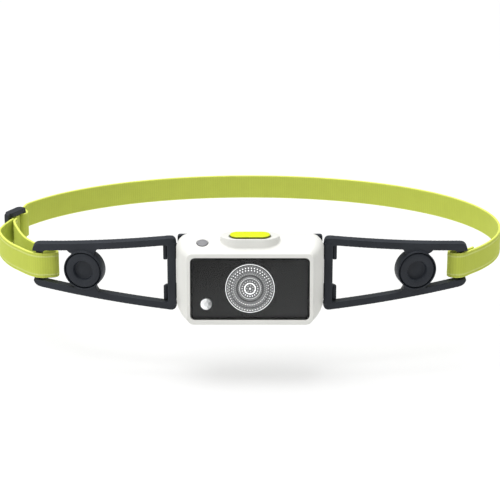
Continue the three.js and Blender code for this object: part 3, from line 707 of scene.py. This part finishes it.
# dark mouldings with softened edges: node, voxel in millimetres, smoothing passes, body
mouldings = {"soft_arm_left": ("arm_left", 0.22, 5, "arm_left"),
             "soft_arm_right": ("arm_right", 0.22, 5, "arm_right"),
             "soft_bracket": ("base_bracket", 0.27, 5, "bracket"),
             "soft_rear_cover": ("rear_cover", 0.3, 5, "lamp"),
             "soft_slider": ("strap_slider", 0.14, 7, "slider"),
             "soft_port_cover": ("port_cover", 0.16, 6, "port_flap")}


def softened(name, node, voxel, passes):
    # a welded copy of the plain part, reskinned finely and relaxed so that every edge gets a small radius
    piece = bpy.data.objects.new(name, closed(nodes[node].data.copy()))
    bpy.context.scene.collection.objects.link(piece)
    skin = piece.modifiers.new("skin", "REMESH")
    skin.mode, skin.voxel_size, skin.use_smooth_shade = "VOXEL", voxel * mm, True
    relax = piece.modifiers.new("relax", "SMOOTH")
    relax.factor, relax.iterations = 0.5, passes
    mesh = bpy.data.meshes.new_from_object(piece.evaluated_get(bpy.context.evaluated_depsgraph_get()))
    bpy.data.objects.remove(piece)
    mesh.name = name
    return mesh


for name, (node, voxel, passes, body) in mouldings.items():
    place(name, softened(name, node, voxel, passes), rubber, body, "navy", [node])
print("mouldings")


# each arm's hub: its place and bend, and (radius, depth) profiles of the ring round it and of its cap
hub = {"x": 72.3, "z": 0.3, "hingeX": 34, "hingeY": -8, "bend": 202, "start": 0.0523,
       "ring": [(8.28, 1.2), (8.28, -3.1), (8.33, -3.22), (8.42, -3.28), (8.56, -3.28), (8.68, -3.22),
                (8.75, -3.08), (8.75, 2.2), (8.65, 2.38), (8.45, 2.45), (8.3, 2.45)],
       "profile": [(0, -1.5), (2.0, -1.44), (3.2, -1.3), (3.7, -1.3), (3.98, -1.45), (4.15, -1.85),
                   (4.4, -2.7), (4.54, -2.96), (4.8, -3.08), (7.2, -3.1), (7.5, -3.03), (7.76, -2.82),
                   (7.88, -2.5), (7.9, -2.2), (7.9, 0.4), (2, 0.4), (2, 3.0), (0, 3.0)]}
hubTurn = math.asin(math.sin(hub["start"]) + (hub["x"] - hub["hingeX"]) / hub["bend"])
hubY = hub["hingeY"] + hub["bend"] * (math.cos(hub["start"]) - math.cos(hubTurn))

for side, word in ((1, "right"), (-1, "left")):
    axis = (-side * math.sin(hubTurn), math.cos(hubTurn), 0)  # square to the arm's bend at the hub
    centre = (side * hub["x"], hubY, hub["z"])
    cap = gridMesh(f"dished_cap_{word}", turnedGrid(hub["profile"], 120, centre, axis, (0, 0, 1)))
    place(f"dished_cap_{word}", closed(cap), rubber, f"arm_{word}", "navy", [f"disc_cap_{word}"], sharp=35)
    rim = gridMesh(f"hub_rim_{word}", turnedGrid(hub["ring"], 120, centre, axis, (0, 0, 1)), closeRows=True)
    place(f"hub_rim_{word}", closed(rim), rubber, f"arm_{word}", "navy", sharp=50)
print("caps")


# headband oval, slider and the points of the webbing's routes seen from above, all in millimetres
band = {"left": 115.6, "right": 114.5, "centreY": 52.0, "rear": 76.7, "front": 70.7, "originY": -8.0,
        "frontAngle": -0.56, "sliderAngle": math.pi - 0.41, "takeUp": 30.0}
slider = {"x": -109.5, "y": 64.5, "turn": math.pi / 3, "travel": 12.0, "axis": (0.151, 0.98853, 0.0)}
fold = [[96.4, 12.5], [92.9, 10.6], [89, 10.6], [85.6, 11.6], [84.9, 13.4], [86.2, 15.3]]
rightFold = [[95.0, 12.2], [92.6, 10.6], [90.0, 10.6], [88.2, 11.6], [87.6, 13.2], [88.6, 14.9]]
rightTail = [[90.6, 16.0], [93.2, 16.05], [95.6, 16.6], [97.6, 18.0], [99.0, 19.6]]
innerRun = [[90.6, 19.3], [96.4, 25.4], [101.6, 33.5], [106.4, 46.5], [108.4, 53.8], [109, 57.3],
            [108.5, 60.6]]
outerRun = [[113.06, 50.48], [114.1, 43.6], [112.2, 35.9], [107.6, 26.2], [102, 18.7]]
weaveHalf = [[0, 2.8], [1.3, 2.7], [2.7, 2.1], [3.3, 0.6], [3.5, -0.9], [4.4, -2.0], [5.9, -2.15]]
weaveFront = [[-13.8, -3.9], [-10.8, -3.2], [-7.8, -2.5]]
weaveBack = [[7.6, -1.3], [9.6, 1.1], [11.2, 3.35], [12.3, 4.25], [14.4, 5.05]]


def ellipse(start, end, count):
    # points of the headband's oval, its rear half longer than its front half
    angle = np.linspace(start, end, count)
    depth = np.where(np.sin(angle) > 0, band["rear"], band["front"])
    width = np.where(np.cos(angle) > 0, band["right"], band["left"])
    return np.stack([width * np.cos(angle), band["centreY"] + depth * np.sin(angle)], -1)


def webbingSection():
    # half round edges, a flat inner face and an outer face with two shallow lengthwise grooves
    half, thick, radius = webbing["width"] / 2, webbing["thickness"] / 2, webbing["radius"]
    across = np.linspace(-(half - radius), half - radius, 45)
    groove = np.exp(-((np.abs(across) / half - webbing["grooveAt"] - 0.09) * half / 0.22) ** 2)
    ridge = np.exp(-((np.abs(across) / half - webbing["grooveAt"]) * half / 0.3) ** 2)
    outer = np.stack([thick - webbing["groove"] * groove + webbing["ridge"] * ridge, across], -1)
    turn = np.linspace(np.pi / 2, -np.pi / 2, 9)[1:-1]
    upper = np.stack([thick * np.sin(turn), half - radius + radius * np.cos(turn)], -1)
    inner = np.stack([np.full(13, -thick), np.linspace(half - radius, -(half - radius), 13)], -1)
    lower = np.stack([-thick * np.sin(turn), -(half - radius) - radius * np.cos(turn)], -1)
    section = np.concatenate([outer, upper, inner, lower])
    tone = np.concatenate([ridge, np.zeros(len(section) - len(ridge))])
    return section, tone


def webbingMesh(name, route):
    # the section carried along a level route, its outer face to the right of the way it runs
    route = np.asarray(route) + [0, band["originY"]]
    along = np.gradient(route, axis=0)
    along /= np.linalg.norm(along, axis=1)[:, None]
    right = np.stack([along[:, 1], -along[:, 0]], -1)
    section, tone = webbingSection()
    flat = route[:, None, :] + right[:, None, :] * section[None, :, :1]
    grid = np.concatenate([flat, np.broadcast_to(section[:, 1:], flat.shape[:2] + (1,))], -1)
    run = np.concatenate([[0], np.cumsum(np.linalg.norm(np.diff(route, axis=0), axis=1))])
    uv = np.stack(np.broadcast_arrays(run[:, None] * mm, section[None, :, 1] * mm), -1)
    mesh = gridMesh(name, grid, caps=True, uv=uv, tones=np.broadcast_to(tone, grid.shape[:2]))
    return closed(mesh, weld=False), run[-1] * mm


def inSlider(points):
    # slider coordinates, along the webbing towards the back and outwards, into the band's plane
    c, s = math.cos(slider["turn"]), math.sin(slider["turn"])
    points = np.asarray(points, float)
    return np.stack([slider["x"] + c * points[:, 0] - s * points[:, 1],
                     slider["y"] + s * points[:, 0] + c * points[:, 1]], -1)


def strapPiece(name, route, standsFor, body=None, crossing=None):
    # one length of webbing, which rides on a body or crosses from one to the next
    mesh, length = webbingMesh(name, route)
    piece = place(name, mesh, lime, body, "webbing", sharp=60)
    if crossing:
        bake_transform(piece)
    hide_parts(*standsFor)
    return piece


def at(point):
    # a point of the routes in metres in the object's frame
    return (point[0] * mm, (point[1] + band["originY"]) * mm, 0.0)


mirrored = np.array([-1, 1])
rearCentre = [0.0, band["centreY"] + band["rear"]]

# right side: sewn tail, fold round the end bar, then the oval to the middle of the back
rightHalf = ellipse(band["frontAngle"], math.pi / 2, 20).tolist()
rightRoute = routeThrough(rightTail[::-1] + rightFold[::-1] + rightHalf, webbing["spacing"])

# left side of the back, cut where the slider takes the webbing up
leftBack = routeThrough(ellipse(math.pi / 2, band["sliderAngle"], 20).tolist() + [[-106.63, 79.65]],
                        webbing["spacing"])
split = len(leftBack) - 1 - int(round(band["takeUp"] / webbing["spacing"]))
splitPoint, farPoint = leftBack[split], leftBack[-1]

strapPiece("webbing_back_right", rightRoute, ["headband_rear", "strap_loop_right"],
           crossing={"bodies": ("arm_right", "bracket"), "start": at([100.0, 22.0]), "end": at(rearCentre)})
strapPiece("webbing_back_left", leftBack[:split + 1], ["headband_rear"],
           crossing={"bodies": ("arm_left", "bracket"), "start": at(splitPoint), "end": at(rearCentre)})
takeUp = strapPiece("webbing_take_up", leftBack[split:], ["headband_rear"], body="arm_left")
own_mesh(takeUp)

# left side, doubled between the arm's end bar and the slider
doubled = routeThrough(np.array(outerRun + fold + innerRun) * mirrored, webbing["spacing"])
strapPiece("webbing_doubled", doubled, ["strap_loop_left"],
           crossing={"bodies": ("arm_left", "slider"), "start": at([-100.0, 22.0]),
                     "end": at([-111.5, 47.0])})

# inside both side bars of the slider and outside its middle one, in stations half a millimetre apart
weave = weaveFront + [[-a, b] for a, b in weaveHalf[:0:-1]] + weaveHalf + weaveBack
strapPiece("webbing_in_slider", routeThrough(inSlider(weave), 0.5)[::-1], ["slider_run"],
           body="slider")

endLoop = {"length": 4.6, "width": 3.6, "thickness": 1.0, "edge": 0.4, "flat": 12.5}


def buildEndLoop():
    # sewn end of the webbing: a flattened ring round the slider's middle bar, as wide as the webbing
    t, e = endLoop["thickness"] / 2, endLoop["edge"]
    outline, normal = stadium(endLoop["length"] - 2 * t, endLoop["width"] - 2 * t, 0.0, 64)
    half = webbing["width"] / 2
    turn = np.linspace(0, np.pi / 2, 4)
    low, high = half - e, half - e + e * np.sin(turn)
    profile = np.concatenate([
        np.stack([np.full(9, t), np.linspace(-low, low, 9)], -1),
        np.stack([t - e + e * np.cos(turn), high], -1)[1:],
        np.stack([-t + e - e * np.sin(turn), low + e * np.cos(turn)], -1),
        np.stack([np.full(9, -t), np.linspace(low, -low, 9)], -1)[1:],
        np.stack([-t + e - e * np.cos(turn), -high], -1)[1:],
        np.stack([t - e + e * np.sin(turn), -low - e * np.cos(turn)], -1)[:-1]])
    local = outline[:, None, :] + normal[:, None, :] * profile[None, :, :1]
    plane = inSlider(local.reshape(-1, 2)).reshape(local.shape) + [0, band["originY"]]
    grid = np.concatenate([plane, np.broadcast_to(profile[:, 1:], plane.shape[:2] + (1,))], -1)
    run = np.linspace(0, 14.0, 64)
    uv = np.stack(np.broadcast_arrays(run[:, None] * mm, profile[None, :, 1] * mm), -1)
    return closed(gridMesh("webbing_end_loop", grid, closeRows=True, uv=uv), weld=False)


loopPiece = place("webbing_end_loop", buildEndLoop(), lime, "slider", "webbing", ["strap_end_loop"],
                  sharp=60)
print("headband")


# (share of the way to the middle, lift) for the pad's flat front, whose edge curls up to the seam
pad = {"width": 54.0, "height": 26.0, "radius": 6.0, "front": -5.3, "seam": -3.9, "shoulder": 0.6,
       "channelDepth": 0.7, "channelHalf": 0.9,
       "curl": [(1.0, 0.0), (0.75, 0.0), (0.35, 0.0), (0.12, 0.072), (0.04, 0.264), (0.0, 0.6)]}


def buildPad():
    # rings shrink from the seam to the middle of each face; the forehead's face is crowned and channelled
    half, tall = pad["width"] / 2, pad["height"] / 2
    rows = [(share, pad["front"] + lift, 0.0) for share, lift in pad["curl"]]
    rows.append((-0.012, pad["seam"] + 0.35, 0.0))  # the seam's bead stands a little proud
    shoulder = pad["seam"] + pad["shoulder"]
    for share in np.concatenate([[0.0, 0.03, 0.08, 0.15], np.linspace(0.22, 1.0, 22)]):
        rise = (1 - (1 - min(share / 0.5, 1)) ** 2) ** 0.5
        rows.append((share, shoulder * (1 - rise), share))
    grid = []
    for share, y, crown in rows:
        inset = share * (tall - 0.02)
        radius = max(pad["radius"] - inset, 0.02)
        sizes = [np.array([v]) for v in (half - inset, tall - inset, inset - tall, radius, radius)]
        ring = roundedRings(*sizes, corner=12, side=40)[0]
        depth = np.full(len(ring), float(y))
        if crown > 0.2:
            lines = np.exp(-((np.abs(ring[:, 0]) - pad["width"] / 6) / pad["channelHalf"]) ** 2)
            depth -= pad["channelDepth"] * lines * min((crown - 0.2) / 0.2, 1)
        grid.append(np.stack([ring[:, 0], depth, ring[:, 1]], -1))
    return closed(gridMesh("forehead_cushion", np.stack(grid), caps=True))


cushion = place("forehead_cushion", buildPad(), knit, "bracket", "foam", ["forehead_pad"])
print("pad")


# parts whose plain shape is right only get their finish
keptFinishes = {"window_panel": clear, "window_gasket": seal, "inner_bezel": mask, "optic_holder": seal,
                "led_board": boardGreen, "control_board": boardGreen, "main_led": phosphor,
                "small_led": phosphor, "indicator_led": phosphor, "battery_cell": cellWrap,
                "tact_switch": seal, "usb_socket": steel, "tilt_pin": steel}
keptFinishes.update({f"housing_screw_{k}": steel for k in (1, 2, 3, 4)})
for name, finish in keptFinishes.items():
    data = nodes[name].data
    data.materials.clear()
    data.materials.append(finish)
print("kept parts")


# floor height in millimetres, low enough for the lamp at full tilt; its size in metres; light strengths
studio = {"floor": -44.0, "size": 40.0, "sheet": "#aeaeae", "lit": 0.48, "horizon": 0.15, "zenith": 1.25}

# a pale acrylic table lit a little from below, which keeps the shadows faint
table = newMaterial("paleLitAcrylic", {"Base Color": studio["sheet"], "Roughness": 0.9,
                                       "Emission Color": "#ffffff", "Emission Strength": studio["lit"]})[0]
table.cycles.emission_sampling = "NONE"
floorMesh = bpy.data.meshes.new("studio_floor")
floorCorners = [(x * studio["size"] / 2, y * studio["size"] / 2, studio["floor"] * mm)
                for x, y in ((-1, -1), (1, -1), (1, 1), (-1, 1))]
floorMesh.from_pydata(floorCorners, [], [(0, 1, 2, 3)])
floorMesh.materials.append(table)
floor = bpy.data.objects.new("studio_floor", floorMesh)
bpy.context.scene.collection.objects.link(floor)

# white sky, dim at the horizon and bright overhead
world = bpy.data.worlds.new("studioSky")
world.use_nodes = True
sky = world.node_tree
heading = addNode(sky, "ShaderNodeTexCoord")
climb = addNode(sky, "ShaderNodeSeparateXYZ", links={0: heading.outputs["Generated"]})
glow = addNode(sky, "ShaderNodeMapRange", {"From Min": 0.35, "From Max": 0.8, "To Min": studio["horizon"],
                                           "To Max": studio["zenith"]}, {"Value": climb.outputs["Z"]})
sky.nodes["Background"].inputs["Color"].default_value = (1, 1, 1, 1)
sky.links.new(glow.outputs["Result"], sky.nodes["Background"].inputs["Strength"])
bpy.context.scene.world = world

# name: place in metres, diameter, power in watts; each looks at the origin
lamps = {"overheadSoftbox": ((-0.3, 0.0, 1.8), 1.6, 19.6),
         "leftSoftbox": ((-0.8, -0.45, 0.35), 0.5, 1.9)}
for name, (spot, size, power) in lamps.items():
    light = bpy.data.lights.new(name, "AREA")
    light.shape, light.size, light.energy = "DISK", size, power
    holder = bpy.data.objects.new(name, light)
    holder.location = spot
    holder.rotation_euler = (-holder.location).to_track_quat("-Z", "Y").to_euler()
    bpy.context.scene.collection.objects.link(holder)

# place in metres, angle up from straight down, focal length in millimetres
view = {"place": (0.0, -0.7985, 0.283), "down": 71.0, "lens": 138.8}
camera = bpy.data.cameras.new("productCamera")
camera.lens, camera.sensor_width = view["lens"], 36.0
eye = bpy.data.objects.new("productCamera", camera)
eye.location = view["place"]
eye.rotation_euler = (math.radians(view["down"]), 0, 0)
bpy.context.scene.collection.objects.link(eye)
bpy.context.scene.camera = eye
bpy.context.scene.view_settings.view_transform = "Standard"
print("studio")
